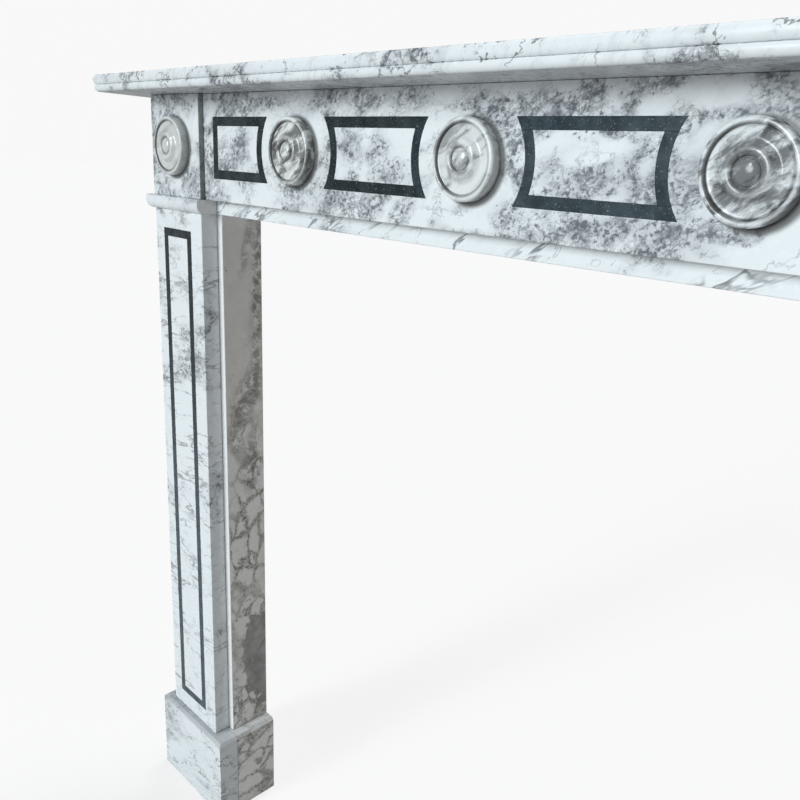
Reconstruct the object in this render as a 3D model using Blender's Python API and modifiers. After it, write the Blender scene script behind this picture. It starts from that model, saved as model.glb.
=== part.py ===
"""Marble fireplace mantel with inlaid panels and turned roundels, at its real size in metres.

The wall is on the +Y side. Left and right are those of someone who faces the mantel.
The origin is on the floor, midway along the width and the depth of the shelf.
"""
from collections import namedtuple
from math import copysign, cos, pi, radians, sin, sqrt

import bmesh
import bpy
from mathutils import Matrix

# Opening and joints
OPENING_WIDTH = 1.276
OPENING_HEIGHT = 0.978
JOINT = 0.0003

# Shelf
SHELF_DEPTH = 0.140
SHELF_SIDE_OVERHANG = 0.0660
LOWER_ROUND_HEIGHT = 0.0102
LOWER_ROUND_WIDEST = 0.0060
LOWER_ROUND_SET_BACK = 0.0010
LOWER_ROUND_UNDERCUT = 0.0045
UNDERCUT_ANGLE = 70
UPPER_ROUND_HEIGHT = 0.0136
UPPER_ROUND_FOOT = 0.0062
UPPER_ROUND_SHOULDER = 0.0035
SHELF_QUIRK = 0.0040

# Frieze and the band under it
FRIEZE_FROM_WALL = 0.080
FRIEZE_HEIGHT = 0.1413
FRIEZE_THICKNESS = 0.030
BAND_HEIGHT = 0.0196
BAND_SET_BACK = 0.014

# Legs
PILASTER_WIDTH = 0.134
PILASTER_THICKNESS = 0.024
PILASTER_PROUD = 0.007
JAMB_SHOW = 0.0117
BLOCK_OUTER_LIP = 0.0026
ORNAMENT_OUTWARD = 0.0033
CAP_LIP = 0.009
CAP_INNER_LIP = 0.006
CAP_TOP_HEIGHT = 0.0075
CAP_TOP_ROUND = 0.0030
PLINTH_HEIGHT = 0.1356
PLINTH_FRONT_LIP = 0.011
PLINTH_SIDE_LIP = 0.020
PLINTH_FRONT_THICKNESS = 0.031
PLINTH_CHAMFER = 0.004
ARRIS = 0.0006

# Roundels, as (radius, height above the slab's face) where two numbers are given
ROUNDEL_RADIUS = 0.0406
ROUNDELS_ON_FRIEZE = 4
END_ROUNDEL_INSET = 0.2137
SEAT_DEPTH = 0.003
SEAT_CLEARANCE = 0.0005
BOSS_HEIGHT = 0.0156
BOSS_FOOT = (0.0108, 0.0112)
HOLLOW = (0.0119, 0.0112)
RING = (0.0162, 0.0140)
DISH = (0.0255, 0.0090)
STEP = (0.0330, 0.0097)
GROOVE = (0.0347, 0.0077)
RIM_CREST = (0.0374, 0.0111)
RIM_WALL_HEIGHT = 0.0080
ROUNDEL_SEGMENTS = 24

# Inlay
INLAY_DEPTH = 0.004
PANEL_BAR = 0.012
PANEL_HEIGHT = 0.0815
PANEL_ARC_RADIUS = 0.071
PANEL_END_MARGIN = 0.0247
LEG_BAR = 0.012
LEG_FRAME_WIDTH = 0.080
LEG_FRAME_END_MARGIN = 0.027
ARC_STEPS = 10

# How far a cutter runs past the face that it opens
OVERRUN = 0.002
WELD_DISTANCE = 0.00001

# Places along Y that follow from the sizes above
WALL_Y = SHELF_DEPTH / 2
SHELF_Y = -SHELF_DEPTH / 2
FRIEZE_Y = WALL_Y - FRIEZE_FROM_WALL
LEG_Y = FRIEZE_Y - PILASTER_PROUD
PILASTER_BACK_Y = LEG_Y + PILASTER_THICKNESS
BAND_Y = FRIEZE_Y + BAND_SET_BACK
CAP_Y = LEG_Y - CAP_LIP
PLINTH_Y = LEG_Y - PLINTH_FRONT_LIP
PLINTH_JOINT_Y = PLINTH_Y + PLINTH_FRONT_THICKNESS

# Places along X, as distances from the middle
JAMB_INNER_X = OPENING_WIDTH / 2
PILASTER_INNER_X = JAMB_INNER_X + JAMB_SHOW
PILASTER_OUTER_X = PILASTER_INNER_X + PILASTER_WIDTH
BLOCK_OUTER_X = PILASTER_OUTER_X + BLOCK_OUTER_LIP
LEG_AXIS_X = (PILASTER_INNER_X + PILASTER_OUTER_X) / 2 + ORNAMENT_OUTWARD
FRIEZE_END_X = PILASTER_INNER_X - JOINT
CAP_INNER_X = PILASTER_INNER_X - CAP_INNER_LIP
CAP_OUTER_X = BLOCK_OUTER_X + CAP_LIP
PLINTH_INNER_X = JAMB_INNER_X - PLINTH_SIDE_LIP
PLINTH_OUTER_X = PILASTER_OUTER_X + PLINTH_SIDE_LIP
SHELF_END_X = BLOCK_OUTER_X + SHELF_SIDE_OVERHANG
FIRST_ROUNDEL_X = END_ROUNDEL_INSET - FRIEZE_END_X
ROUNDEL_PITCH = -2 * FIRST_ROUNDEL_X / (ROUNDELS_ON_FRIEZE - 1)
ROUNDEL_XS = [FIRST_ROUNDEL_X + ROUNDEL_PITCH * i for i in range(ROUNDELS_ON_FRIEZE)]

# Heights above the floor
LEG_FOOT_Z = PLINTH_HEIGHT + JOINT
LEG_TOP_Z = OPENING_HEIGHT - JOINT
BAND_TOP_Z = OPENING_HEIGHT + BAND_HEIGHT
FRIEZE_FOOT_Z = BAND_TOP_Z + JOINT
FRIEZE_TOP_Z = FRIEZE_FOOT_Z + FRIEZE_HEIGHT
SHELF_FOOT_Z = FRIEZE_TOP_Z + JOINT
ROUNDEL_Z = (FRIEZE_FOOT_Z + FRIEZE_TOP_Z) / 2

# An inlaid frame. left and right are its ends, each ("line", x) or ("roundel", x)
Frame = namedtuple("Frame", "name left right middle_z half_height bar face_y")


def clear_scene():
    for obj in list(bpy.data.objects):
        bpy.data.objects.remove(obj, do_unlink=True)


def new_collection(name):
    made = bpy.data.collections.new(name)
    bpy.context.scene.collection.children.link(made)
    return made


def new_material(name, color, roughness):
    mat = bpy.data.materials.new(name)
    mat.use_nodes = True
    shader = mat.node_tree.nodes["Principled BSDF"]
    shader.inputs["Base Color"].default_value = (*color, 1.0)
    shader.inputs["Roughness"].default_value = roughness
    shader.inputs["Metallic"].default_value = 0.0
    return mat


clear_scene()
MANTEL = new_collection("fireplace_mantel")
CUTTERS = new_collection("cutters")
WHITE_MARBLE = new_material("white_marble", (0.70, 0.72, 0.73), 0.30)
GREY_MARBLE = new_material("grey_marble", (0.50, 0.50, 0.49), 0.22)
DARK_MARBLE = new_material("green_black_marble", (0.030, 0.045, 0.050), 0.28)


# General shapes

def add_object(name, mesh, mat, group):
    obj = bpy.data.objects.new(name, mesh)
    group.objects.link(obj)
    if mat:
        mesh.materials.append(mat)
    return obj


def add_bmesh_object(name, bm, mat, group=MANTEL):
    mesh = bpy.data.meshes.new(name)
    bmesh.ops.recalc_face_normals(bm, faces=bm.faces)
    bm.to_mesh(mesh)
    bm.free()
    return add_object(name, mesh, mat, group)


def block(name, xs, ys, zs):
    """A plain block of white marble with eased arrises, between two X, two Y and two Z values."""
    size = [abs(pair[1] - pair[0]) for pair in (xs, ys, zs)]
    bm = bmesh.new()
    bmesh.ops.create_cube(bm, size=1.0, matrix=Matrix.Diagonal((*size, 1.0)))
    obj = add_bmesh_object(name, bm, WHITE_MARBLE)
    obj.location = [sum(pair) / 2 for pair in (xs, ys, zs)]
    bevel = obj.modifiers.new("eased arrises", "BEVEL")
    bevel.width = ARRIS
    bevel.segments = 1
    return obj


def moulded_block(name, xs, ys, foot_z, profile, edges):
    """A block whose sides follow a profile of (inset, height) points, mitred at the corners.

    edges says which sides are moulded: it holds some of "x0", "x1", "y0" and "y1".
    """
    half_x = abs(xs[1] - xs[0]) / 2
    half_y = abs(ys[1] - ys[0]) / 2
    bm = bmesh.new()
    bmesh.ops.create_grid(bm, x_segments=1, y_segments=1, size=1.0)
    bm.faces.ensure_lookup_table()
    face = bm.faces[0]
    for step, (inset, height) in enumerate(profile):
        if step:
            grown = bmesh.ops.extrude_face_region(bm, geom=[face, *face.edges])["geom"]
            face = next(item for item in grown if isinstance(item, bmesh.types.BMFace))
        for vert in face.verts:
            side_x = "x1" if vert.co.x > 0 else "x0"
            side_y = "y1" if vert.co.y > 0 else "y0"
            vert.co.x = copysign(half_x - inset * (side_x in edges), vert.co.x)
            vert.co.y = copysign(half_y - inset * (side_y in edges), vert.co.y)
            vert.co.z = height
    obj = add_bmesh_object(name, bm, WHITE_MARBLE)
    obj.location = (sum(xs) / 2, sum(ys) / 2, foot_z)
    return obj


def plate(name, outline, middle_z, front_y, thickness, mat=None, group=MANTEL):
    """A flat plate facing -Y, from an outline of (x, height from middle_z) points."""
    curve = bpy.data.curves.new(name, "CURVE")
    curve.dimensions = "2D"
    curve.fill_mode = "BOTH"
    curve.extrude = thickness / 2
    spline = curve.splines.new("POLY")
    spline.points.add(len(outline) - 1)
    for point, (x, height) in zip(spline.points, outline):
        point.co = (x, height, 0.0, 1.0)
    spline.use_cyclic_u = True
    drawn = bpy.data.objects.new(name + "_outline", curve)
    bpy.context.scene.collection.objects.link(drawn)
    drawn.location = (0.0, front_y + thickness / 2, middle_z)
    drawn.rotation_euler = (pi / 2, 0.0, 0.0)
    bpy.context.view_layer.update()
    evaluated = drawn.evaluated_get(bpy.context.evaluated_depsgraph_get())
    mesh = bpy.data.meshes.new_from_object(evaluated)
    bm = bmesh.new()
    bm.from_mesh(mesh)
    bmesh.ops.remove_doubles(bm, verts=bm.verts, dist=WELD_DISTANCE)
    bpy.data.meshes.remove(mesh)
    obj = add_bmesh_object(name, bm, mat, group)
    obj.matrix_world = drawn.matrix_world.copy()
    bpy.data.objects.remove(drawn, do_unlink=True)
    bpy.data.curves.remove(curve)
    return obj


def turned(name, profile, place, mat=None, group=MANTEL):
    """A solid turned about an axis along -Y, from a profile of (radius, height) points."""
    mesh = bpy.data.meshes.new(name)
    edges = [(i, i + 1) for i in range(len(profile) - 1)]
    mesh.from_pydata([(radius, 0.0, height) for radius, height in profile], edges, [])
    obj = add_object(name, mesh, mat, group)
    screw = obj.modifiers.new("turn", "SCREW")
    screw.axis = "Z"
    screw.steps = ROUNDEL_SEGMENTS
    screw.render_steps = ROUNDEL_SEGMENTS
    screw.use_merge_vertices = True
    screw.merge_threshold = WELD_DISTANCE
    screw.use_smooth_shade = True
    obj.location = place
    obj.rotation_euler = (pi / 2, 0.0, 0.0)
    return obj


def cut(obj, cutter):
    cutter.hide_render = True
    cutter.display_type = "WIRE"
    boolean = obj.modifiers.new("cut " + cutter.name, "BOOLEAN")
    boolean.operation = "DIFFERENCE"
    boolean.object = cutter


# Profiles

def arc(centre, half_width, half_height, start, end, steps):
    """Points of an elliptical arc, from one angle in degrees to another, both included."""
    angles = [radians(start + (end - start) * i / steps) for i in range(steps + 1)]
    return [(centre[0] + half_width * cos(a), centre[1] + half_height * sin(a)) for a in angles]


def quarter(start, end, steps, level_first):
    """Points after start, up to and including end, of a quarter ellipse that starts level or upright."""
    run, rise = end[0] - start[0], end[1] - start[1]
    points = []
    for i in range(1, steps + 1):
        angle = pi / 2 * i / steps
        along, up = (sin(angle), 1 - cos(angle)) if level_first else (1 - cos(angle), sin(angle))
        points.append((start[0] + run * along, start[1] + rise * up))
    return points


def slope(start, end, steps):
    """Points after start, up to and including end, of a smooth slope that is level at both ends."""
    run, rise = end[0] - start[0], end[1] - start[1]
    points = []
    for i in range(1, steps + 1):
        share = i / steps
        points.append((start[0] + run * share, start[1] + rise * (1 - cos(pi * share)) / 2))
    return points


def roundel_profile():
    """From the centre outwards: boss, hollow, raised ring, dish, step, groove and rim."""
    top = (0.0, BOSS_HEIGHT)
    points = [top]
    points += quarter(top, BOSS_FOOT, 3, True)
    points.append(HOLLOW)
    points += quarter(HOLLOW, RING, 2, False)
    points += slope(RING, DISH, 3)
    points += quarter(DISH, STEP, 3, True)
    points.append(GROOVE)
    points += quarter(GROOVE, RIM_CREST, 2, False)
    points += quarter(RIM_CREST, (ROUNDEL_RADIUS, RIM_WALL_HEIGHT), 3, True)
    seat = JOINT - SEAT_DEPTH
    return points + [(ROUNDEL_RADIUS, seat), (0.0, seat)]


def shelf_profile():
    """A lower round, a quirk and an upper round, as (inset, height) from the flat underside up."""
    angle = radians(UNDERCUT_ANGLE)
    half_width = LOWER_ROUND_UNDERCUT / (1 - cos(angle))
    half_height = LOWER_ROUND_WIDEST / sin(angle)
    centre = (LOWER_ROUND_SET_BACK + half_width, LOWER_ROUND_WIDEST)
    points = arc(centre, half_width, half_height, 180 + UNDERCUT_ANGLE, 180, 4)
    quirk = (SHELF_QUIRK, LOWER_ROUND_HEIGHT)
    points += quarter(points[-1], quirk, 3, False)
    widest = (0.0, LOWER_ROUND_HEIGHT + UPPER_ROUND_FOOT)
    points += quarter(quirk, widest, 3, True)
    top = (UPPER_ROUND_SHOULDER, LOWER_ROUND_HEIGHT + UPPER_ROUND_HEIGHT)
    return points + quarter(widest, top, 3, False)


def cap_profile():
    """A quarter round, a short upright face and an eased top, as (inset, height) from the underside up."""
    widest = (0.0, BAND_HEIGHT - CAP_TOP_HEIGHT)
    points = [(CAP_LIP, 0.0)] + quarter((CAP_LIP, 0.0), widest, 5, True)
    brow = (0.0, BAND_HEIGHT - CAP_TOP_ROUND)
    return points + [brow] + quarter(brow, (CAP_TOP_ROUND, BAND_HEIGHT), 2, False)


# Inlay

def side_points(end, inward, depth, z_from, z_to):
    """Points of one side of a frame, depth inside its outer edge, between two heights from its middle.

    inward is the direction along X from that end into the frame, 1 or -1.
    """
    kind, x = end
    if kind == "line":
        return [(x + inward * depth, z_from), (x + inward * depth, z_to)]
    radius = PANEL_ARC_RADIUS + depth
    steps = max(2, round(ARC_STEPS * abs(z_to - z_from) / PANEL_HEIGHT))
    heights = [z_from + (z_to - z_from) * i / steps for i in range(steps + 1)]
    return [(x + inward * sqrt(radius ** 2 - z ** 2), z) for z in heights]


def frame_outline(frame, depth, z_from, z_to):
    """Closed outline across a frame, between two heights and depth inside its outer sides."""
    return (side_points(frame.left, 1, depth, z_from, z_to)
            + side_points(frame.right, -1, depth, z_to, z_from))


def side_strip_outline(frame, end, inward):
    reach = frame.half_height - frame.bar
    return (side_points(end, inward, JOINT, reach, -reach)
            + side_points(end, inward, frame.bar - JOINT, -reach, reach))


def let_in(frame, carrier):
    """Cuts a frame's pocket in its carrier and fills it with four strips."""
    half, bar, middle_z = frame.half_height, frame.bar, frame.middle_z
    outer = frame_outline(frame, 0.0, half, -half)
    inner = frame_outline(frame, bar, half - bar, bar - half)
    depth = INLAY_DEPTH + OVERRUN
    pocket = plate(f"pocket_{frame.name}", outer, middle_z, frame.face_y - OVERRUN, depth, group=CUTTERS)
    island = plate(f"island_{frame.name}", inner, middle_z, frame.face_y - 2 * OVERRUN,
                   depth + 2 * OVERRUN, group=CUTTERS)
    cut(pocket, island)
    cut(carrier, pocket)
    strips = {
        "top": frame_outline(frame, JOINT, half - JOINT, half - bar + JOINT),
        "bottom": frame_outline(frame, JOINT, bar - JOINT - half, JOINT - half),
        "left": side_strip_outline(frame, frame.left, 1),
        "right": side_strip_outline(frame, frame.right, -1),
    }
    for part, outline in strips.items():
        plate(f"inlay_{frame.name}_{part}", outline, middle_z, frame.face_y, INLAY_DEPTH - JOINT, DARK_MARBLE)


# Parts of the mantel

def make_roundel(number, x, face_y, carrier):
    """A roundel let into a shallow round seat in the slab that carries it."""
    place = (x, face_y, ROUNDEL_Z)
    turned(f"roundel_{number}", roundel_profile(), place, GREY_MARBLE)
    radius = ROUNDEL_RADIUS + SEAT_CLEARANCE
    seat_profile = [(0.0, OVERRUN), (radius, OVERRUN), (radius, -SEAT_DEPTH), (0.0, -SEAT_DEPTH)]
    cut(carrier, turned(f"seat_{number}", seat_profile, place, group=CUTTERS))


def make_shelf():
    moulded_block("shelf", (-SHELF_END_X, SHELF_END_X), (SHELF_Y, WALL_Y), SHELF_FOOT_Z, shelf_profile(),
                  ("x0", "x1", "y0"))


def make_frieze():
    frieze = block("frieze", (-FRIEZE_END_X, FRIEZE_END_X), (FRIEZE_Y, FRIEZE_Y + FRIEZE_THICKNESS),
                   (FRIEZE_FOOT_Z, FRIEZE_TOP_Z))
    panel_end_x = FRIEZE_END_X - PANEL_END_MARGIN
    ends = [("line", -panel_end_x)] + [("roundel", x) for x in ROUNDEL_XS] + [("line", panel_end_x)]
    for number, (left, right) in enumerate(zip(ends, ends[1:]), start=1):
        panel = Frame(f"panel_{number}", left, right, ROUNDEL_Z, PANEL_HEIGHT / 2, PANEL_BAR, FRIEZE_Y)
        let_in(panel, frieze)
    for number, x in enumerate(ROUNDEL_XS, start=2):
        make_roundel(number, x, FRIEZE_Y, frieze)


def make_band():
    block("lintel_band", (-PILASTER_OUTER_X, PILASTER_OUTER_X), (BAND_Y, WALL_Y),
          (OPENING_HEIGHT, BAND_TOP_Z))


def make_plinth(side, xs):
    profile = [(0.0, 0.0), (0.0, PLINTH_HEIGHT - PLINTH_CHAMFER), (PLINTH_CHAMFER, PLINTH_HEIGHT)]
    moulded_block(f"plinth_front_{side}", xs, (PLINTH_Y, PLINTH_JOINT_Y), 0.0, profile, ("x0", "x1", "y0"))
    moulded_block(f"plinth_rear_{side}", xs, (PLINTH_JOINT_Y + JOINT, WALL_Y), 0.0, profile, ("x0", "x1"))


def make_pilaster(side, sign):
    pilaster = block(f"pilaster_{side}", (sign * PILASTER_INNER_X, sign * PILASTER_OUTER_X),
                     (LEG_Y, PILASTER_BACK_Y), (LEG_FOOT_Z, LEG_TOP_Z))
    axis_x = sign * LEG_AXIS_X
    left = ("line", axis_x - LEG_FRAME_WIDTH / 2)
    right = ("line", axis_x + LEG_FRAME_WIDTH / 2)
    middle_z = (LEG_TOP_Z + LEG_FOOT_Z) / 2
    half_height = (LEG_TOP_Z - LEG_FOOT_Z) / 2 - LEG_FRAME_END_MARGIN
    let_in(Frame(f"leg_{side}", left, right, middle_z, half_height, LEG_BAR, LEG_Y), pilaster)


def make_leg(side, sign, roundel_number):
    """One leg from the floor up; sign is the direction along X from the middle to its outer side."""
    make_plinth(side, (sign * PLINTH_INNER_X, sign * PLINTH_OUTER_X))
    make_pilaster(side, sign)
    block(f"jamb_{side}", (sign * JAMB_INNER_X, sign * PILASTER_OUTER_X), (PILASTER_BACK_Y + JOINT, WALL_Y),
          (LEG_FOOT_Z, LEG_TOP_Z))
    outer_edge = "x1" if sign > 0 else "x0"
    moulded_block(f"cap_{side}", (sign * CAP_INNER_X, sign * CAP_OUTER_X), (CAP_Y, BAND_Y - JOINT),
                  OPENING_HEIGHT, cap_profile(), (outer_edge, "y0"))
    end_block = block(f"end_block_{side}", (sign * PILASTER_INNER_X, sign * BLOCK_OUTER_X), (LEG_Y, WALL_Y),
                      (FRIEZE_FOOT_Z, FRIEZE_TOP_Z))
    make_roundel(roundel_number, sign * LEG_AXIS_X, LEG_Y, end_block)


make_shelf()
make_frieze()
make_band()
make_leg("left", -1, roundel_number=1)
make_leg("right", 1, roundel_number=len(ROUNDEL_XS) + 2)
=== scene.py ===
"""Looks of the marble fireplace mantel: finely turned and moulded pieces, marbles, light and camera."""

from collections import namedtuple
from math import cos, pi, radians, sin

import bmesh
import bpy
from mathutils import Matrix, Vector


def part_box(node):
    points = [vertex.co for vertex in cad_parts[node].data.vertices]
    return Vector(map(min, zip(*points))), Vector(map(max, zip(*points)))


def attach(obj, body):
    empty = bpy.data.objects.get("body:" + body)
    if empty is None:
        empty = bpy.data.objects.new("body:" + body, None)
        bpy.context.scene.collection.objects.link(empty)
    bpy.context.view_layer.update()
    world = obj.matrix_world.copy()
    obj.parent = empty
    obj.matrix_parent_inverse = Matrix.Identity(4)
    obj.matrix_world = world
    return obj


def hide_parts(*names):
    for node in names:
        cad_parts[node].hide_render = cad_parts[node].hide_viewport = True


# Camera, solved from the mantel's edges and discs in the photo
FOCAL_PX = 777.4
IMAGE_PX = 800
PRINCIPAL_PX = (507.1, 354.9)
CAMERA_PLACE = (0.3935, -0.5740, 1.0562)
CAMERA_HEADING = radians(-40.09)
CAMERA_PITCH = radians(-12.99)
CAMERA_ROLL = radians(3.50)
CAMERA_CLIP_START = 0.01
SENSOR_MM = 36

# Light. A sun's FROM is the direction towards it
KEY_FROM = (-0.15, -1.0, 0.27)
KEY_STRENGTH = 2.02
KEY_COLOR = (0.90, 0.97, 1.0)
KEY_ANGLE = radians(26)
GLINT_FROM = (-0.12, -0.80, 0.50)
GLINT_STRENGTH = 0.50
GLINT_ANGLE = radians(8)
TOP_FROM = (0.0, 0.25, 1.0)
TOP_STRENGTH = 1.6
TOP_COLOR = (1.0, 1.0, 1.0)
TOP_ANGLE = radians(20)
AMBIENT_COLOR = (1.0, 0.985, 0.96)
AMBIENT_STRENGTH = 0.22
BACKDROP_COLOR = (0.942, 0.942, 0.942)

# Floor. The camera sees the SEEN grey with its glow, and the BOUNCE grey lights the mantel
FLOOR_SEEN = 0.25
FLOOR_GLOW = 0.71
FLOOR_BOUNCE = 0.45
FLOOR_HALF = 60.0

# Roundels, as (radius, height above the slab's face) where two numbers are given
ROUNDEL_RADIUS = 0.0406
BOSS_HEIGHT = 0.0156
BOSS_FOOT = (0.0108, 0.0112)
HOLLOW = (0.0119, 0.0112)
RING = (0.0162, 0.0140)
DISH = (0.0255, 0.0090)
STEP = (0.0330, 0.0097)
GROOVE = (0.0347, 0.0077)
RIM_CREST = (0.0374, 0.0111)
RIM_WALL_HEIGHT = 0.0080
ROUNDEL_SEGMENTS = 144

# Mouldings
LOWER_ROUND_HEIGHT = 0.0102
LOWER_ROUND_WIDEST = 0.0060
LOWER_ROUND_SET_BACK = 0.0010
LOWER_ROUND_UNDERCUT = 0.0045
UNDERCUT_DEGREES = 70
UPPER_ROUND_HEIGHT = 0.0136
UPPER_ROUND_FOOT = 0.0062
UPPER_ROUND_SHOULDER = 0.0035
SHELF_QUIRK = 0.0040
CAP_LIP = 0.009
CAP_TOP_HEIGHT = 0.0075
CAP_TOP_ROUND = 0.0030
MOULDING_STEPS = 10
SHARP_ANGLE = radians(35)
WELD_DISTANCE = 1e-6

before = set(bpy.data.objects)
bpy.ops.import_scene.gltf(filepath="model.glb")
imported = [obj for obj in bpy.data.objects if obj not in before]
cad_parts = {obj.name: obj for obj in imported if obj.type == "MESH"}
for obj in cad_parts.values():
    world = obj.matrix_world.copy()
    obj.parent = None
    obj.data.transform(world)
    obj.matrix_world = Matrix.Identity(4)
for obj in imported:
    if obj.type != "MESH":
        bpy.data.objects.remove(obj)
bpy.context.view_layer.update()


def box_of(kind):
    """Corners of the first node of a kind, such as cap. Where there are two, it is the left one."""
    node = min(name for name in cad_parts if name.startswith(kind))
    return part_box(node)


def roundel_centre(number):
    """Middle of a roundel, on the face of its slab."""
    low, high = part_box(f"roundel_{number}")
    middle = (low + high) / 2
    return Vector((middle.x, low.y + BOSS_HEIGHT, middle.z))


# Profiles

def arc(centre, half_width, half_height, start, end, steps):
    """Points of an elliptical arc, from one angle in degrees to another, both included."""
    angles = [radians(start + (end - start) * i / steps) for i in range(steps + 1)]
    return [(centre[0] + half_width * cos(a), centre[1] + half_height * sin(a)) for a in angles]


def quarter(start, end, steps, level_first):
    """Points after start, up to and including end, of a quarter ellipse that starts level or upright."""
    run, rise = end[0] - start[0], end[1] - start[1]
    points = []
    for i in range(1, steps + 1):
        angle = pi / 2 * i / steps
        along, up = (sin(angle), 1 - cos(angle)) if level_first else (1 - cos(angle), sin(angle))
        points.append((start[0] + run * along, start[1] + rise * up))
    return points


def slope(start, end, steps):
    """Points after start, up to and including end, of a smooth slope that is level at both ends."""
    run, rise = end[0] - start[0], end[1] - start[1]
    points = []
    for i in range(1, steps + 1):
        share = i / steps
        points.append((start[0] + run * share, start[1] + rise * (1 - cos(pi * share)) / 2))
    return points


def roundel_profile(seat):
    """From the centre outwards: boss, hollow, raised ring, dish, step, groove and rim."""
    top = (0.0, BOSS_HEIGHT)
    points = [top]
    points += quarter(top, BOSS_FOOT, steps=12, level_first=True)
    points.append(HOLLOW)
    points += quarter(HOLLOW, RING, steps=8, level_first=False)
    points += slope(RING, DISH, steps=12)
    points += quarter(DISH, STEP, steps=10, level_first=True)
    points.append(GROOVE)
    points += quarter(GROOVE, RIM_CREST, steps=8, level_first=False)
    points += quarter(RIM_CREST, (ROUNDEL_RADIUS, RIM_WALL_HEIGHT), steps=10, level_first=True)
    return points + [(ROUNDEL_RADIUS, seat), (0.0, seat)]


def shelf_profile():
    """A lower round, a quirk and an upper round, as (inset, height) from the flat underside up."""
    steps = MOULDING_STEPS
    angle = radians(UNDERCUT_DEGREES)
    half_width = LOWER_ROUND_UNDERCUT / (1 - cos(angle))
    half_height = LOWER_ROUND_WIDEST / sin(angle)
    centre = (LOWER_ROUND_SET_BACK + half_width, LOWER_ROUND_WIDEST)
    points = arc(centre, half_width, half_height, 180 + UNDERCUT_DEGREES, 180, steps)
    quirk = (SHELF_QUIRK, LOWER_ROUND_HEIGHT)
    points += quarter(points[-1], quirk, steps, level_first=False)
    widest = (0.0, LOWER_ROUND_HEIGHT + UPPER_ROUND_FOOT)
    points += quarter(quirk, widest, steps, level_first=True)
    top = (UPPER_ROUND_SHOULDER, LOWER_ROUND_HEIGHT + UPPER_ROUND_HEIGHT)
    return points + quarter(widest, top, steps, level_first=False)


def cap_profile(height):
    """A quarter round, a short upright face and an eased top, as (inset, height) from the underside up."""
    foot = (CAP_LIP, 0.0)
    widest = (0.0, height - CAP_TOP_HEIGHT)
    brow = (0.0, height - CAP_TOP_ROUND)
    top = (CAP_TOP_ROUND, height)
    points = [foot] + quarter(foot, widest, MOULDING_STEPS, level_first=True)
    return points + [brow] + quarter(brow, top, MOULDING_STEPS, level_first=False)


# Meshes

def add_piece(node, bm, mat):
    """Makes a finer piece from bm that stands for a CAD node of the frame."""
    name = f"{node}_fine"
    mesh = bpy.data.meshes.new(name)
    bmesh.ops.recalc_face_normals(bm, faces=bm.faces)
    bm.to_mesh(mesh)
    bm.free()
    mesh.shade_smooth()
    mesh.set_sharp_from_angle(angle=SHARP_ANGLE)
    mesh.materials.append(mat)
    obj = bpy.data.objects.new(name, mesh)
    bpy.context.scene.collection.objects.link(obj)
    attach(obj, "root")
    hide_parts(node)


def add_moulded_piece(node, profile, edges, mat):
    """The node's block, with sides that follow a profile of (inset, height) points on the given edges."""
    low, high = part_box(node)
    bm = bmesh.new()
    rings = []
    for inset, height in profile:
        x0 = low.x + inset * ("x0" in edges)
        x1 = high.x - inset * ("x1" in edges)
        y0 = low.y + inset * ("y0" in edges)
        corners = ((x0, y0), (x1, y0), (x1, high.y), (x0, high.y))
        rings.append([bm.verts.new((x, y, low.z + height)) for x, y in corners])
    bm.faces.new(rings[0])
    for lower, upper in zip(rings, rings[1:]):
        for i in range(4):
            j = (i + 1) % 4
            bm.faces.new((lower[i], lower[j], upper[j], upper[i]))
    bm.faces.new(rings[-1])
    add_piece(node, bm, mat)


def add_turned_piece(node, centre, profile, mat):
    """A disc turned about an axis along -Y through centre, which lies on the slab's face."""
    bm = bmesh.new()
    verts = [bm.verts.new((radius, 0.0, height)) for radius, height in profile]
    edges = [bm.edges.new(pair) for pair in zip(verts, verts[1:])]
    bmesh.ops.spin(bm, geom=verts + edges, cent=(0, 0, 0), axis=(0, 0, 1), angle=2 * pi,
                   steps=ROUNDEL_SEGMENTS, use_merge=True)
    bmesh.ops.remove_doubles(bm, verts=bm.verts, dist=WELD_DISTANCE)
    upright = Matrix.Translation(centre) @ Matrix.Rotation(pi / 2, 4, "X")
    bmesh.ops.transform(bm, matrix=upright, verts=bm.verts)
    add_piece(node, bm, mat)


# Shading tools

BUMP_STRENGTH = 0.35

# How a stone is polished: features to the metre of the polish, its roughness from shiny to dull, and
# features to the metre and depth in metres of its slight unevenness
Polish = namedtuple("Polish", "scale shiny dull bump_scale bump_depth")
HONED = Polish(scale=60, shiny=0.22, dull=0.36, bump_scale=120, bump_depth=0.00008)
HONED_DULLER = Polish(scale=60, shiny=0.24, dull=0.38, bump_scale=120, bump_depth=0.00008)
POLISHED_DISC = Polish(scale=90, shiny=0.12, dull=0.24, bump_scale=150, bump_depth=0.00008)
POLISHED_INLAY = Polish(scale=80, shiny=0.22, dull=0.34, bump_scale=200, bump_depth=0.00006)

SAWN_PALE = (0.62, 0.63, 0.62)
SAWN_DARK = (0.50, 0.51, 0.51)
SAWN_SHARE = 0.75
SAWN_ROUGHNESS = 0.75

# Where a tone fades in or out, in metres past the face that it belongs to, or before it where below 0
SAWN_FADE = (-0.0012, -0.0004)
END_FADE = (0.0002, 0.0008)
UNDERSIDE_FADE = (0.0001, 0.0015)
LEDGE_FADE = (-0.0056, -0.0031)
REVEAL_FADE = (0.0010, 0.0220)
STRIP_FADE = (0.0009, 0.0017)

# A place where marble is denser, or cleaner where amount is below 0: an ellipse with half sizes along its
# own axes, which are turned by degrees
Patch = namedtuple("Patch", "middle half turn amount")
FAR = 100.0


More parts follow.
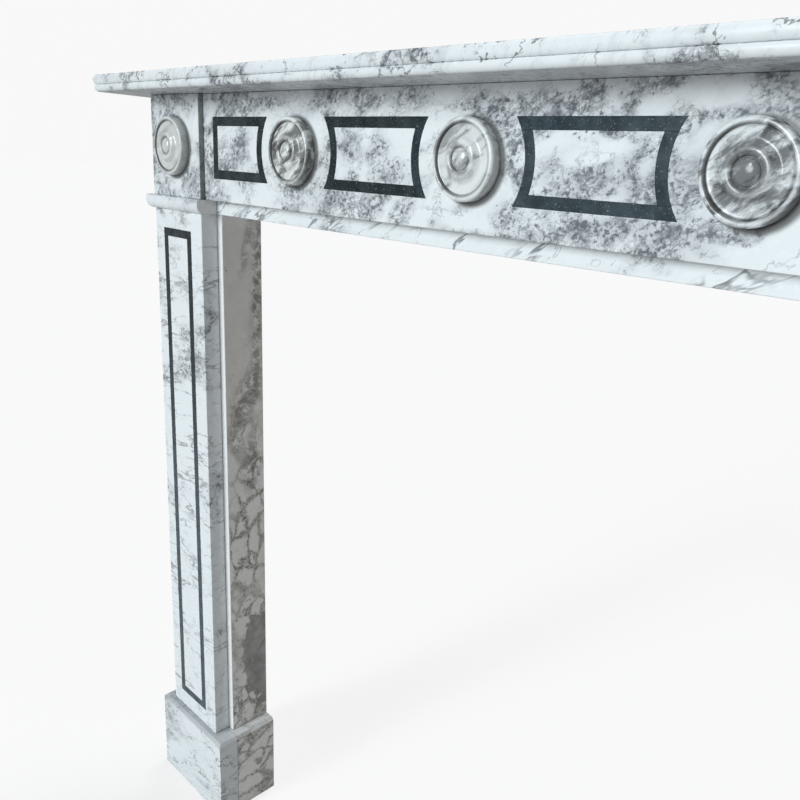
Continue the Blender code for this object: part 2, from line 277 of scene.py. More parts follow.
class Shader:
    """A small builder for one node material in the object's own coordinates, in metres."""

    def __init__(self, name, specular=0.5):
        self.material = bpy.data.materials.new(name)
        self.material.use_nodes = True
        self.tree = self.material.node_tree
        self.principled = self.tree.nodes["Principled BSDF"]
        self.principled.inputs["Specular IOR Level"].default_value = specular
        self.place = self.tree.nodes.new("ShaderNodeTexCoord").outputs["Object"]

    def set(self, socket, value):
        if isinstance(value, bpy.types.NodeSocket):
            self.tree.links.new(value, socket)
        elif value is not None:
            socket.default_value = value

    def math(self, operation, a, b=None, c=None, clamp=False):
        node = self.tree.nodes.new("ShaderNodeMath")
        node.operation = operation
        node.use_clamp = clamp
        for socket, value in zip(node.inputs, (a, b, c)):
            self.set(socket, value)
        return node.outputs[0]

    def plus(self, a, b):
        return self.math("ADD", a, b)

    def minus(self, a, b):
        return self.math("SUBTRACT", a, b)

    def times(self, a, b, clamp=False):
        return self.math("MULTIPLY", a, b, clamp=clamp)

    def within(self, value, low, high):
        return self.math("MINIMUM", self.math("MAXIMUM", value, low), high)

    def vector(self, operation, a, b=None, scale=None):
        node = self.tree.nodes.new("ShaderNodeVectorMath")
        node.operation = operation
        self.set(node.inputs[0], a)
        if b is not None:
            self.set(node.inputs[1], b)
        if scale is not None:
            self.set(node.inputs["Scale"], scale)
        return node.outputs["Vector"]

    def moved(self, place, offset=(0, 0, 0), turn=(0, 0, 0), stretch=(1, 1, 1)):
        """place in axes that are turned and then drawn out, so that features grow by stretch along them."""
        node = self.tree.nodes.new("ShaderNodeMapping")
        node.vector_type = "TEXTURE"
        self.set(node.inputs["Vector"], place)
        node.inputs["Location"].default_value = offset
        node.inputs["Rotation"].default_value = [radians(angle) for angle in turn]
        node.inputs["Scale"].default_value = stretch
        return node.outputs[0]

    def axis(self, name):
        node = self.tree.nodes.new("ShaderNodeSeparateXYZ")
        self.set(node.inputs[0], self.place)
        return node.outputs[name]

    def from_middle(self):
        """Distance to the mantel's middle, to the left or the right."""
        return self.math("ABSOLUTE", self.axis("X"))

    def distance(self, middle, half, turn=(0, 0, 0)):
        """Distance from the middle of an ellipse, 1 on its edge."""
        node = self.tree.nodes.new("ShaderNodeVectorMath")
        node.operation = "LENGTH"
        self.set(node.inputs[0], self.moved(self.place, middle, turn, half))
        return node.outputs["Value"]

    def spot(self, patch):
        """The patch's amount in its middle, fading to 0 at its edge."""
        return self.band(self.distance(patch.middle, patch.half, patch.turn), 0.25, 1.0, patch.amount, 0.0)

    def circle(self, centre, radius, width, strength):
        """strength on a circle round centre, in a plane across Y, fading to 0 at width from it."""
        away = self.minus(self.distance(centre, (radius, FAR, radius)), 1.0)
        return self.band(self.math("ABSOLUTE", away), 0.0, width / radius, strength, 0.0)

    def noise(self, place, scale, detail=4, roughness=0.55, output="Fac"):
        node = self.tree.nodes.new("ShaderNodeTexNoise")
        self.set(node.inputs["Vector"], place)
        node.inputs["Scale"].default_value = scale
        node.inputs["Detail"].default_value = detail
        node.inputs["Roughness"].default_value = roughness
        return node.outputs[output]

    def warped(self, place, scale, amount, detail=3):
        """place, shifted by up to about amount metres by a noise of that scale."""
        color = self.noise(place, scale, detail, output="Color")
        shift = self.vector("SUBTRACT", color, (0.5, 0.5, 0.5))
        return self.vector("ADD", place, self.vector("SCALE", shift, scale=2 * amount))

    def cells(self, place, scale):
        """Distance to the nearest wall between random cells, in cells."""
        node = self.tree.nodes.new("ShaderNodeTexVoronoi")
        node.feature = "DISTANCE_TO_EDGE"
        self.set(node.inputs["Vector"], place)
        node.inputs["Scale"].default_value = scale
        return node.outputs["Distance"]

    def band(self, value, low, high, bottom=0.0, top=1.0):
        """value smoothly mapped from low..high to bottom..top."""
        node = self.tree.nodes.new("ShaderNodeMapRange")
        node.interpolation_type = "SMOOTHSTEP"
        for name, number in (("Value", value), ("From Min", low), ("From Max", high),
                             ("To Min", bottom), ("To Max", top)):
            self.set(node.inputs[name], number)
        return node.outputs[0]

    def fade(self, value, face, distances, bottom=0.0, top=1.0):
        """value smoothly mapped to bottom..top between two distances from a face."""
        return self.band(value, face + distances[0], face + distances[1], bottom, top)

    def mottle(self, place, scale, low, high, bottom=0.0, top=1.0, detail=4, roughness=0.55):
        """Random patches, scale to the metre, from bottom where a noise is low to top where it is high."""
        return self.band(self.noise(place, scale, detail, roughness), low, high, bottom, top)

    def ridge(self, place, scale, width, detail=5, roughness=0.6):
        """Thin winding lines, 1 on a line and 0 away from it, where a noise crosses its middle."""
        away = self.math("ABSOLUTE", self.minus(self.noise(place, scale, detail, roughness), 0.5))
        return self.band(away, 0.0, width, 1.0, 0.0)

    def mix(self, share, a, b):
        node = self.tree.nodes.new("ShaderNodeMix")
        node.data_type = "RGBA"
        self.set(node.inputs["Factor"], share)
        self.set(node.inputs["A"], (*a, 1.0) if isinstance(a, tuple) else a)
        self.set(node.inputs["B"], (*b, 1.0) if isinstance(b, tuple) else b)
        return node.outputs["Result"]

    def sawn(self, color, roughness, back_y):
        """color and roughness, with a plain sawn face at the back."""
        behind = self.fade(self.axis("Y"), back_y, SAWN_FADE)
        tone = self.mottle(self.place, 30, 0.35, 0.65, detail=6, roughness=0.7)
        color = self.mix(self.times(behind, SAWN_SHARE), color, self.mix(tone, SAWN_PALE, SAWN_DARK))
        return color, self.math("MAXIMUM", roughness, self.times(behind, SAWN_ROUGHNESS))

    def finish(self, color, place, polish, back_y=None):
        """The material, polished unevenly, and sawn at the back if it has one."""
        roughness = self.mottle(place, polish.scale, 0.3, 0.7, polish.shiny, polish.dull)
        if back_y is not None:
            color, roughness = self.sawn(color, roughness, back_y)
        bump = self.tree.nodes.new("ShaderNodeBump")
        bump.inputs["Strength"].default_value = BUMP_STRENGTH
        bump.inputs["Distance"].default_value = polish.bump_depth
        self.set(bump.inputs["Height"], self.noise(place, polish.bump_scale, 3))
        self.set(self.principled.inputs["Base Color"], color)
        self.set(self.principled.inputs["Roughness"], roughness)
        self.set(self.principled.inputs["Normal"], bump.outputs[0])
        return self.material


# White marble

WHITE = (0.80, 0.84, 0.86)
CLOUD = (0.42, 0.45, 0.48)
FLECK = (0.23, 0.25, 0.27)
VEIN = (0.115, 0.128, 0.142)
# Painted shade, put round the roundels' feet and into their grooves and hollows
PAINTED_SHADE = (0.085, 0.088, 0.085)
BLOCK_END_TONE = (0.13, 0.15, 0.14)
BLOCK_END_SHARE = 0.75
CAP_END_TONE = (0.78, 0.78, 0.76)
CAP_END_SHARE = 0.9
# Painted shade on the shelf's underside, and below it on the plinths' sloped ledges
UNDERSIDE_SHADE = (0.24, 0.25, 0.25)
UNDERSIDE_SHADE_SHARE = 0.42
LEDGE_SHADE = (0.40, 0.42, 0.44)
LEDGE_SHADE_SHARE = 0.65

# Painted contact shade lies round a roundel's foot, a little to the right of it and below. Behind the faces
# it fades out
FRIEZE_ROUNDELS = (2, 3, 4, 5)
BLOCK_ROUNDELS = (1, 6)
SHADE_SHIFT_X = 0.0040
SHADE_SHIFT_Z = -0.0015
SHADE_RADIUS = 0.0468
SHADE_SHARE = 0.88
SHADE_SOFT_FROM = 0.88
SHADE_FADE_Y = (-0.0080, -0.0060)

STREAK_STRETCH = (3.2, 2.5, 0.7)
STREAK_SHARE = 0.85

# A cut of marble. seed moves it to a place of its own in the pattern, SEED_STEP metres away for each 1, and
# stretch draws its features out along an axis that climbs to the right by rise degrees. island is islands
# to the metre, reach how far the veins spread into them, and dense how much of the stone the veins take up.
# cloud, crinkle, speck, thread and streak are strengths from 0 to 1. streak_rise is the rise of the streaks
SEED_STEP = (3.7, 1.9, 0.8)
Stone = namedtuple("Stone", "seed rise stretch island reach dense cloud crinkle speck thread streak "
                            "streak_rise")

STONES = {
    "shelf": Stone(seed=1, rise=40, stretch=(1.2, 1, 0.9), island=17, reach=0.19, dense=0.58,
                   cloud=0.50, crinkle=0.80, speck=0.90, thread=0.90, streak=0.15, streak_rise=55),
    "frieze": Stone(seed=2, rise=28, stretch=(1.25, 1, 0.9), island=18, reach=0.42, dense=0.80,
                    cloud=0.90, crinkle=0.65, speck=0.95, thread=0.40, streak=0.0, streak_rise=0),
    "end_block": Stone(seed=3, rise=50, stretch=(1.1, 1, 0.9), island=20, reach=0.42, dense=0.80,
                       cloud=0.80, crinkle=0.60, speck=0.90, thread=0.40, streak=0.0, streak_rise=0),
    "lintel_band": Stone(seed=4, rise=28, stretch=(1.4, 1, 0.8), island=12, reach=0.16, dense=0.40,
                         cloud=0.40, crinkle=0.40, speck=0.50, thread=0.40, streak=1.0, streak_rise=27),
    "cap": Stone(seed=5, rise=60, stretch=(1, 1, 1), island=20, reach=0.20, dense=0.50,
                 cloud=0.45, crinkle=0.40, speck=0.40, thread=0.30, streak=0.20, streak_rise=60),
    "pilaster": Stone(seed=6, rise=8, stretch=(1.3, 1, 0.9), island=14, reach=0.24, dense=0.50,
                      cloud=0.40, crinkle=0.45, speck=0.70, thread=0.45, streak=0.75, streak_rise=4),
    "plinth_front": Stone(seed=8, rise=6, stretch=(1.6, 1.4, 0.8), island=13, reach=0.20, dense=0.55,
                          cloud=0.35, crinkle=0.50, speck=0.40, thread=0.75, streak=0.25, streak_rise=4),
}


def front_patch(x, z, half_x, half_z, rise, amount):
    """A patch on the front, whose long axis climbs to the right by rise degrees."""
    return Patch((x, 0.0, z), (half_x, FAR, half_z), (0, -rise, 0), amount)


FRIEZE_PATCHES = [
    front_patch(-0.520, 1.124, 0.120, 0.016, 3, 0.75),
    front_patch(-0.290, 1.125, 0.080, 0.014, 0, 0.55),
    front_patch(-0.085, 1.121, 0.115, 0.020, 0, 0.80),
    front_patch(-0.040, 1.121, 0.050, 0.014, 5, 0.50),
    front_patch(0.162, 1.120, 0.022, 0.018, 40, 0.80),
    front_patch(-0.570, 1.070, 0.055, 0.034, 30, 0.70),
    front_patch(-0.325, 1.078, 0.026, 0.026, 60, 0.60),
    front_patch(-0.278, 1.072, 0.030, 0.030, 40, 0.75),
    front_patch(-0.045, 1.066, 0.018, 0.034, 70, 0.40),
    front_patch(0.010, 1.048, 0.055, 0.014, 12, 0.75),
    front_patch(-0.400, 1.014, 0.050, 0.014, 20, 0.80),
    front_patch(-0.240, 1.012, 0.036, 0.018, 40, 0.95),
    front_patch(0.012, 1.014, 0.060, 0.014, 10, 0.80),
    front_patch(0.112, 1.013, 0.026, 0.014, -20, 0.80),
    front_patch(0.098, 1.065, 0.016, 0.034, 50, 0.40),
    front_patch(0.420, 1.120, 0.110, 0.016, 4, 0.75),
    front_patch(0.330, 1.016, 0.060, 0.016, 15, 0.80),
    front_patch(0.560, 1.060, 0.060, 0.040, 30, 0.70),
    front_patch(0.112, 1.126, 0.042, 0.018, 0, -1.20),
    front_patch(0.165, 1.006, 0.045, 0.018, 0, -1.20),
    front_patch(0.005, 1.079, 0.052, 0.013, 14, -1.20),
    front_patch(-0.196, 1.108, 0.022, 0.013, 30, -1.00),
    front_patch(-0.150, 1.008, 0.048, 0.014, 0, -1.00),
    front_patch(-0.500, 1.012, 0.050, 0.012, 10, -0.70),
    front_patch(-0.395, 1.105, 0.030, 0.016, 40, -0.80),
    front_patch(0.250, 1.118, 0.045, 0.018, 0, -1.00),
]
BLOCK_PATCHES = [
    front_patch(-0.745, 1.120, 0.050, 0.022, 40, 0.70),
    front_patch(-0.690, 1.040, 0.030, 0.040, 60, 0.50),
    front_patch(0.745, 1.020, 0.050, 0.022, 30, 0.60),
]


def broken_areas(shader, stone, place, loose, patches):
    """Where veins break up the marble, between clean islands, and the wider haze round those places."""
    shift = 0.34 * stone.dense
    dense = shader.mottle(loose, 8, 0.64 - shift, 0.78 - shift)
    placed = 0.0
    for patch in patches:
        spot = shader.spot(patch)
        dense = shader.plus(dense, spot)
        if patch.amount > 0:
            placed = shader.plus(placed, spot)
    dense = shader.within(dense, 0.0, 1.3)

    walls = shader.cells(loose, stone.island)
    reach = shader.mottle(place, 11, 0.35, 0.65, 0.35 * stone.reach, 1.3 * stone.reach, detail=3)
    reach = shader.times(reach, shader.plus(dense, 0.35))
    broken = shader.times(shader.band(walls, 0.0, reach, 1.0, 0.0), shader.math("MINIMUM", dense, 1.0))
    if patches:
        ragged = shader.mottle(loose, 26, 0.40, 0.58, detail=6, roughness=0.62)
        placed = shader.times(shader.times(placed, 1.5, clamp=True), ragged)
        placed = shader.times(placed, shader.math("MINIMUM", shader.times(dense, 1.5), 1.0))
        broken = shader.math("MAXIMUM", broken, placed)
    return broken, shader.times(shader.band(walls, 0.0, 0.5, 1.0, 0.25), dense)


def veined(shader, stone, loose, fine, broken, haze):
    """The white marble's color with its grey clouds, crinkled veins and chains of dark flecks."""
    haze = shader.times(shader.mottle(loose, 20, 0.33, 0.66, detail=6, roughness=0.62), haze)
    color = shader.mix(shader.times(haze, 0.62 * stone.cloud, clamp=True), WHITE, CLOUD)
    cloud = shader.times(shader.mottle(fine, 48, 0.40, 0.65, detail=8, roughness=0.74), broken)
    color = shader.mix(shader.times(cloud, stone.cloud), color, CLOUD)

    crinkle = shader.times(shader.ridge(fine, 44, 0.050, 7, 0.70), broken)
    color = shader.mix(shader.times(crinkle, stone.crinkle), color, VEIN)

    thick = shader.plus(shader.times(broken, 0.10), shader.times(cloud, 0.12))
    grain = shader.plus(shader.noise(fine, 200, 5, 0.68), thick)
    inside = shader.times(shader.band(broken, 0.0, 0.25), stone.speck)
    color = shader.mix(shader.times(shader.band(grain, 0.60, 0.70, 0.0, 0.75), inside), color, FLECK)
    return shader.mix(shader.times(shader.band(grain, 0.67, 0.76, 0.0, 0.90), inside), color, VEIN)


def threaded(shader, stone, color, place, fine):
    """color with single thin winding cracks here and there."""
    some = shader.mottle(place, 17, 0.40, 0.58, detail=3)
    thread = shader.times(shader.ridge(fine, 16, 0.012, 5), some)
    return shader.mix(shader.times(thread, stone.thread), color, VEIN)


def streaked(shader, stone, color, offset):
    """color with long dark streaks that climb by the stone's streak_rise."""
    along = shader.moved(shader.place, offset, (0, -stone.streak_rise, 0), STREAK_STRETCH)
    line = shader.ridge(shader.warped(along, 24, 0.012), 19, 0.026, 4)
    line = shader.times(line, shader.mottle(along, 21, 0.40, 0.58))
    return shader.mix(shader.times(line, STREAK_SHARE * stone.streak), color, VEIN)


def white_marble(kind, patches=(), *marks):
    """The white marble of a kind of piece. Each mark adds what only this kind has to its color."""
    stone = STONES[kind]
    shader = Shader(f"{kind}_marble")
    offset = [stone.seed * step for step in SEED_STEP]
    place = shader.moved(shader.place, offset, (0, -stone.rise, 0), stone.stretch)
    loose = shader.warped(shader.warped(place, 7, 0.045), 26, 0.012)
    fine = shader.warped(shader.warped(place, 30, 0.005), 110, 0.0022, 4)

    broken, haze = broken_areas(shader, stone, place, loose, patches)
    color = veined(shader, stone, loose, fine, broken, haze)
    color = threaded(shader, stone, color, place, fine)
    if stone.streak:
        color = streaked(shader, stone, color, offset)
    low, high = box_of(kind)
    for mark in marks:
        color = mark(shader, color, low, high)
    return shader.finish(color, place, HONED, high.y)


# Marks. low and high are the corners of the kind's box, or of the left one where there are two

def contact_shaded(shader, color, numbers):
    """color, darkened by painted contact shade on the face round the roundels with these numbers."""
    on_face = shader.band(shader.axis("Y"), *SHADE_FADE_Y, 1.0, 0.0)
    for number in numbers:
        centre = roundel_centre(number)
        middle = (centre.x + SHADE_SHIFT_X, 0.0, centre.z + SHADE_SHIFT_Z)
        away = shader.distance(middle, (SHADE_RADIUS, FAR, SHADE_RADIUS))
        near = shader.times(shader.band(away, SHADE_SOFT_FROM, 1.0, SHADE_SHARE, 0.0), on_face)
        color = shader.mix(near, color, PAINTED_SHADE)
    return color


# Painted contact shade round the frieze's roundels
def frieze_contact_shade(shader, color, low, high):
    return contact_shaded(shader, color, FRIEZE_ROUNDELS)


# Painted contact shade round the end blocks' roundels
def block_contact_shade(shader, color, low, high):
    return contact_shaded(shader, color, BLOCK_ROUNDELS)


def end_toned(shader, color, high, tone, share):
    """color with a tone of its own on the end towards the mantel's middle."""
    on_end = shader.fade(shader.from_middle(), abs(high.x), END_FADE, share, 0.0)
    return shader.mix(on_end, color, tone)


def dark_end(shader, color, low, high):
    return end_toned(shader, color, high, BLOCK_END_TONE, BLOCK_END_SHARE)


def pale_end(shader, color, low, high):
    return end_toned(shader, color, high, CAP_END_TONE, CAP_END_SHARE)


# Painted shade on the shelf's flat underside
def shaded_underside(shader, color, low, high):
    underside = shader.fade(shader.axis("Z"), low.z, UNDERSIDE_FADE, UNDERSIDE_SHADE_SHARE, 0.0)
    return shader.mix(underside, color, UNDERSIDE_SHADE)


def shaded_ledge(shader, color, low, high):
    """color, with painted shade on a plinth's sloped upper edge."""
    ledge = shader.fade(shader.axis("Z"), high.z, LEDGE_FADE, 0.0, LEDGE_SHADE_SHARE)
    return shader.mix(ledge, color, LEDGE_SHADE)


# Warm marble of the jambs and rear plinths. A pair of tones is the pale and the dark end of a mottle

GROUND_TONES = ((0.74, 0.73, 0.70), (0.46, 0.45, 0.43))
PLAIN_TONES = ((0.80, 0.79, 0.76), (0.60, 0.59, 0.56))
ISLAND_TONES = ((0.97, 0.96, 0.94), (0.74, 0.73, 0.70))
ISLAND_EDGE = (0.27, 0.26, 0.24)
WARM_FLECK = (0.16, 0.15, 0.14)
WARM_VEIN = (0.21, 0.20, 0.185)
DARK_PATCH_TONES = ((0.42, 0.42, 0.40), (0.24, 0.24, 0.23))
FRONT_STRIP = (0.86, 0.87, 0.87)

# The jamb is broken up by this much below the first of these heights, and not by it above the second
JAMB_LOW_DENSE = 0.60
JAMB_LOW_Z = (0.50, 0.75)


def side_patch(y, z, half_y, half_z, lean, amount):
    """A patch on the reveal. lean tilts its top towards the wall, in degrees."""
    return Patch((0.0, y, z), (FAR, half_y, half_z), (-lean, 0, 0), amount)


JAMB_PATCHES = [
    side_patch(0.042, 0.690, 0.034, 0.110, 20, 0.60),
    side_patch(0.050, 0.560, 0.028, 0.100, 10, 0.80),
    side_patch(0.035, 0.450, 0.042, 0.090, 0, 0.60),
    side_patch(0.045, 0.200, 0.030, 0.070, 0, 0.50),
    side_patch(0.018, 0.880, 0.022, 0.160, 0, -0.80),
]
JAMB_VEINS = [
    side_patch(0.062, 0.860, 0.016, 0.200, 2, 0.90),
    side_patch(0.046, 0.935, 0.012, 0.070, 12, 0.55),
    side_patch(0.040, 0.700, 0.032, 0.090, 25, 0.75),
    side_patch(0.050, 0.600, 0.024, 0.080, 5, 0.65),
]
JAMB_DARK_PATCH = side_patch(0.058, 0.245, 0.042, 0.130, -8, 1.0)


def breccia(shader, loose, fine, size, stretch, dense):
    """Rounded pale islands about size metres across in a duller ground, with flecks where it is dense."""
    islands = shader.moved(shader.warped(loose, 0.5 / size, 0.55 * size), stretch=stretch)
    uneven = shader.mottle(loose, 0.4 / size, 0.35, 0.65, 0.45, 1.9)
    walls = shader.times(shader.cells(islands, 1 / size), uneven)
    tone = shader.mottle(fine, 22, 0.36, 0.66, detail=6, roughness=0.62)
    ground = shader.mix(tone, *GROUND_TONES)
    plain = shader.mix(shader.times(tone, 0.35), *PLAIN_TONES)
    island = shader.mix(shader.times(tone, 0.20), *ISLAND_TONES)
    broken = shader.mix(shader.band(walls, 0.02, 0.20), ground, island)

    edge = shader.band(shader.math("ABSOLUTE", shader.minus(walls, 0.05)), 0.0, 0.040, 0.42, 0.0)
    edge = shader.times(edge, shader.mottle(loose, 34, 0.42, 0.60, detail=5, roughness=0.6))
    color = shader.mix(dense, plain, shader.mix(edge, broken, ISLAND_EDGE))

    near_wall = shader.band(walls, 0.0, 0.20, 0.16, 0.0)
    grain = shader.math("MULTIPLY_ADD", near_wall, dense, shader.noise(fine, 230, 4, 0.66))
    fleck = shader.band(grain, 0.60, 0.74, 0.0, 0.80)
    return shader.mix(shader.times(fleck, dense), color, WARM_FLECK)


def jamb_marble():
    """Warm marble: plain at the top of the reveal, broken up lower down, and white on the front strip."""
    shader = Shader("jamb_marble")
    low, high = box_of("jamb")
    place = shader.moved(shader.place, offset=(1.3, 0.7, 2.1))
    loose = shader.warped(shader.warped(place, 14, 0.020), 45, 0.006)
    fine = shader.warped(loose, 110, 0.0025, 4)

    low_zone = shader.band(shader.axis("Z"), *JAMB_LOW_Z, JAMB_LOW_DENSE, 0.0)
    dense = shader.plus(shader.mottle(loose, 9, 0.45, 0.75, 0.0, 0.5), low_zone)
    for patch in JAMB_PATCHES:
        dense = shader.plus(dense, shader.spot(patch))
    dense = shader.within(dense, 0.0, 1.0)
    color = breccia(shader, loose, fine, size=0.026, stretch=(1, 1, 1.8), dense=dense)

    on_reveal = shader.fade(shader.from_middle(), abs(high.x), REVEAL_FADE, 1.0, 0.0)
    flecks = shader.times(shader.mottle(fine, 75, 0.42, 0.56, detail=7, roughness=0.72), on_reveal)
    for patch in JAMB_VEINS:
        color = shader.mix(shader.times(shader.spot(patch), flecks), color, WARM_VEIN)
    ragged = shader.math("MULTIPLY_ADD", shader.noise(fine, 34, 7, 0.70), 2.4, shader.spot(JAMB_DARK_PATCH))
    ragged = shader.times(shader.band(ragged, 1.52, 1.62, 0.0, 0.88), on_reveal)
    shade = shader.mottle(fine, 40, 0.36, 0.64, detail=6, roughness=0.65)
    color = shader.mix(ragged, color, shader.mix(shade, *DARK_PATCH_TONES))

    behind_strip = shader.fade(shader.axis("Y"), low.y, STRIP_FADE)
    color = shader.mix(behind_strip, FRONT_STRIP, color)
    return shader.finish(color, loose, HONED_DULLER, high.y)


def rear_plinth_marble():
    """Coarse breccia of large pale islands."""
    shader = Shader("plinth_rear_marble")
    low, high = box_of("plinth_rear")
    place = shader.moved(shader.place, offset=(0.4, 3.1, 1.2))
    loose = shader.warped(shader.warped(place, 12, 0.020), 45, 0.005)
    fine = shader.warped(loose, 110, 0.0025, 4)
    color = breccia(shader, loose, fine, size=0.030, stretch=(1, 1.8, 1), dense=0.9)
    color = shaded_ledge(shader, color, low, high)
    return shader.finish(color, loose, HONED_DULLER, high.y)


# Grey marble of the roundels. amount is how strong its swirls are

Look = namedtuple("Look", "pale dark amount")
ROUNDEL_LOOKS = [
    Look((0.61, 0.63, 0.62), (0.38, 0.39, 0.375), 0.45),
    Look((0.76, 0.78, 0.77), (0.175, 0.18, 0.175), 1.04),
    Look((0.70, 0.73, 0.73), (0.23, 0.24, 0.245), 0.72),
    Look((0.74, 0.78, 0.80), (0.155, 0.165, 0.17), 1.02),
    Look((0.70, 0.72, 0.71), (0.24, 0.24, 0.235), 0.70),
    Look((0.66, 0.68, 0.65), (0.38, 0.39, 0.37), 0.50),
]
# Painted highlight on the roundels' crests
PAINTED_HIGHLIGHT = (0.90, 0.92, 0.92)

# Painted highlights on the crests and painted shade in the groove and hollow, as (radius, width, strength)
HIGHLIGHT_CIRCLES = [(RIM_CREST[0] + 0.0004, 0.0024, 0.42), (RING[0] + 0.0008, 0.0026, 0.38)]
SHADE_CIRCLES = [(GROOVE[0] + 0.0005, 0.0026, 0.92), (HOLLOW[0], 0.0028, 0.75)]


def scaled(tone, factor):
    return tuple(min(1.0, factor * part) for part in tone)


def grey_marble(name, centre, seed, look):
    """Grey marble with swirling bands, painted highlights on its crests and painted shade in its hollows,
    for a roundel.
    """
    shader = Shader(name)
    pale, dark, amount = look
    offset = (seed * 2.3, 0, seed)
    place = shader.moved(shader.place, offset, turn=(0, -35, 0), stretch=(2.2, 1, 0.8))
    loose = shader.warped(shader.warped(place, 24, 0.011), 70, 0.004)
    fine = shader.warped(loose, 160, 0.002, 4)

    swirl_from = 0.51 - 0.115 * amount
    swirl = shader.mottle(fine, 50, swirl_from, swirl_from + 0.18, detail=7, roughness=0.64)
    color = shader.mix(shader.times(swirl, 0.35 + 0.6 * amount), pale, dark)
    deep = shader.times(shader.mottle(fine, 75, 0.50, 0.64, detail=6, roughness=0.68), swirl)
    color = shader.mix(shader.times(deep, amount), color, scaled(dark, 0.45))
    light = shader.mottle(loose, 26, 0.55, 0.66, 0.0, 0.6)
    color = shader.mix(light, color, scaled(pale, 1.12))

    across = shader.minus(shader.axis("X"), centre.x)
    # The painted shade is strongest on the left side and the painted highlights on the right side
    shade_side = shader.band(across, -0.030, 0.024, 1.0, 0.25)
    highlight_side = shader.minus(1.15, shade_side)
    for radius, width, strength in HIGHLIGHT_CIRCLES:
        painted_highlight_ring = shader.times(shader.circle(centre, radius, width, strength), highlight_side)
        color = shader.mix(painted_highlight_ring, color, PAINTED_HIGHLIGHT)
    for radius, width, strength in SHADE_CIRCLES:
        painted_shade_ring = shader.times(shader.circle(centre, radius, width, strength), shade_side)
        color = shader.mix(painted_shade_ring, color, PAINTED_SHADE)
    return shader.finish(color, place, POLISHED_DISC)


# Dark marble of the inlay. A pair of tones is the dark and the light end of its mottle

PANEL_TONES_LEFT = ((0.008, 0.015, 0.017), (0.026, 0.038, 0.044))
PANEL_TONES_RIGHT = ((0.022, 0.036, 0.044), (0.052, 0.073, 0.085))
PANEL_CHANGE_X = (-0.32, -0.05)
LEG_TONES_LOW = ((0.040, 0.058, 0.072), (0.078, 0.102, 0.122))
LEG_TONES_HIGH = ((0.007, 0.012, 0.014), (0.022, 0.031, 0.036))
LEG_CHANGE_Z = (0.45, 0.85)
INLAY_SPECK = (0.26, 0.33, 0.35)
INLAY_SPECULAR = 0.25


def dark_marble(name, axis, change, first, second):
    """Green-black marble with fine pale specks, in tones that go from first to second along an axis."""
    shader = Shader(name, INLAY_SPECULAR)
    ground = shader.mottle(shader.place, 60, 0.3, 0.7, detail=5)
    along = shader.band(shader.axis(axis), *change)
    color = shader.mix(along, shader.mix(ground, *first), shader.mix(ground, *second))
    specks = shader.mottle(shader.place, 520, 0.60, 0.69, 0.0, 0.60, roughness=0.6)
    color = shader.mix(specks, color, INLAY_SPECK)
    return shader.finish(color, shader.place, POLISHED_INLAY)


def make_marbles():
    """The marble of each kind of piece."""
    # The marks of the shelf, frieze, end blocks and plinths include painted shade
    return {
        "shelf": white_marble("shelf", (), shaded_underside),
        "frieze": white_marble("frieze", FRIEZE_PATCHES, frieze_contact_shade),
        "end_block": white_marble("end_block", BLOCK_PATCHES, block_contact_shade, dark_end),
        "lintel_band": white_marble("lintel_band"),
        "cap": white_marble("cap", (), pale_end),
        "pilaster": white_marble("pilaster"),
        "plinth_front": white_marble("plinth_front", (), shaded_ledge),
        "jamb": jamb_marble(),
        "plinth_rear": rear_plinth_marble(),
        "inlay_panel": dark_marble("panel_inlay", "X", PANEL_CHANGE_X, PANEL_TONES_LEFT, PANEL_TONES_RIGHT),
        "inlay_leg": dark_marble("leg_inlay", "Z", LEG_CHANGE_Z, LEG_TONES_LOW, LEG_TONES_HIGH),
    }


# Pieces

def dress_nodes(marbles):
    """Gives each CAD node the marble of its kind."""
    for name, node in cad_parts.items():
        for kind, mat in marbles.items():
            if name.startswith(kind):
                for slot in node.material_slots:
                    slot.material = mat


def make_mouldings(marbles):
    add_moulded_piece("shelf", shelf_profile(), ("x0", "x1", "y0"), marbles["shelf"])
    for side, outer in (("left", "x0"), ("right", "x1")):
        low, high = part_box(f"cap_{side}")
        add_moulded_piece(f"cap_{side}", cap_profile(high.z - low.z), (outer, "y0"), marbles["cap"])


def make_roundels():
    for number, look in enumerate(ROUNDEL_LOOKS, start=1):
        node = f"roundel_{number}"
        centre = roundel_centre(number)
        seat = centre.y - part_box(node)[1].y
        mat = grey_marble(f"{node}_marble", centre, number, look)
        add_turned_piece(node, centre, roundel_profile(seat), mat)


# Stage

def make_floor():
    mesh = bpy.data.meshes.new("floor")
    bm = bmesh.new()
    bmesh.ops.create_grid(bm, x_segments=1, y_segments=1, size=FLOOR_HALF)
    bm.to_mesh(mesh)
    bm.free()
    floor = bpy.data.objects.new("floor", mesh)
    bpy.context.scene.collection.objects.link(floor)
    mat = bpy.data.materials.new("pale_floor")
    mat.use_nodes = True
    tree = mat.node_tree
    tree.nodes.clear()
    shaded = tree.nodes.new("ShaderNodeBsdfDiffuse")
    shaded.inputs["Color"].default_value = (FLOOR_SEEN, FLOOR_SEEN, FLOOR_SEEN, 1.0)
    glow = tree.nodes.new("ShaderNodeEmission")
    glow.inputs["Strength"].default_value = FLOOR_GLOW
    seen = tree.nodes.new("ShaderNodeAddShader")
    tree.links.new(shaded.outputs[0], seen.inputs[0])
    tree.links.new(glow.outputs[0], seen.inputs[1])
    bounce = tree.nodes.new("ShaderNodeBsdfDiffuse")
    bounce.inputs["Color"].default_value = (FLOOR_BOUNCE, FLOOR_BOUNCE, FLOOR_BOUNCE, 1.0)
    mix_by_camera_ray(tree, bounce.outputs[0], seen.outputs[0], "ShaderNodeOutputMaterial")
    mesh.materials.append(mat)


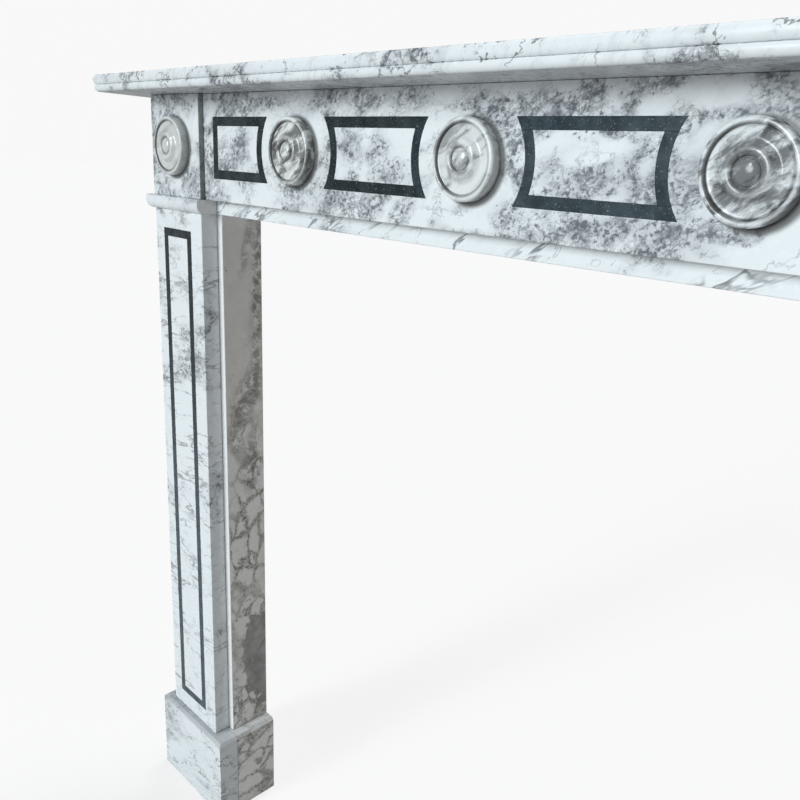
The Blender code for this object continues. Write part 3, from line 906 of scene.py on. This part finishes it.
def mix_by_camera_ray(tree, lighting, seen, output_kind):
    """Shows one shader to the camera while the other one lights the object."""
    path = tree.nodes.new("ShaderNodeLightPath")
    mix = tree.nodes.new("ShaderNodeMixShader")
    output = tree.nodes.new(output_kind)
    tree.links.new(path.outputs["Is Camera Ray"], mix.inputs[0])
    tree.links.new(lighting, mix.inputs[1])
    tree.links.new(seen, mix.inputs[2])
    tree.links.new(mix.outputs[0], output.inputs["Surface"])


def make_world():
    world = bpy.data.worlds.new("studio")
    bpy.context.scene.world = world
    world.use_nodes = True
    tree = world.node_tree
    tree.nodes.clear()
    ambient = tree.nodes.new("ShaderNodeBackground")
    ambient.inputs["Color"].default_value = (*AMBIENT_COLOR, 1.0)
    ambient.inputs["Strength"].default_value = AMBIENT_STRENGTH
    backdrop = tree.nodes.new("ShaderNodeBackground")
    backdrop.inputs["Color"].default_value = (*BACKDROP_COLOR, 1.0)
    mix_by_camera_ray(tree, ambient.outputs[0], backdrop.outputs[0], "ShaderNodeOutputWorld")


def add_sun(name, from_direction, strength, color, angle):
    light = bpy.data.lights.new(name, "SUN")
    light.energy = strength
    light.color = color
    light.angle = angle
    sun = bpy.data.objects.new(name, light)
    bpy.context.scene.collection.objects.link(sun)
    sun.rotation_euler = Vector(from_direction).to_track_quat("Z", "Y").to_euler()


def make_camera():
    forward = Vector((sin(CAMERA_HEADING) * cos(CAMERA_PITCH), cos(CAMERA_HEADING) * cos(CAMERA_PITCH),
                      sin(CAMERA_PITCH)))
    level = Vector((cos(CAMERA_HEADING), -sin(CAMERA_HEADING), 0.0))
    upright = level.cross(forward)
    right = level * cos(CAMERA_ROLL) + upright * sin(CAMERA_ROLL)
    up = upright * cos(CAMERA_ROLL) - level * sin(CAMERA_ROLL)
    data = bpy.data.cameras.new("camera")
    data.sensor_width = SENSOR_MM
    data.lens = FOCAL_PX / IMAGE_PX * SENSOR_MM
    data.shift_x = 0.5 - PRINCIPAL_PX[0] / IMAGE_PX
    data.shift_y = PRINCIPAL_PX[1] / IMAGE_PX - 0.5
    data.clip_start = CAMERA_CLIP_START
    camera = bpy.data.objects.new("camera", data)
    bpy.context.scene.collection.objects.link(camera)
    turn = Matrix((right, up, -forward)).transposed().to_4x4()
    camera.matrix_world = Matrix.Translation(CAMERA_PLACE) @ turn
    bpy.context.scene.camera = camera


marbles = make_marbles()
dress_nodes(marbles)
make_mouldings(marbles)
make_roundels()
make_floor()
make_world()
add_sun("key", KEY_FROM, KEY_STRENGTH, KEY_COLOR, KEY_ANGLE)
add_sun("glint", GLINT_FROM, GLINT_STRENGTH, KEY_COLOR, GLINT_ANGLE)
add_sun("top", TOP_FROM, TOP_STRENGTH, TOP_COLOR, TOP_ANGLE)
make_camera()
bpy.context.scene.view_settings.view_transform = "Standard"
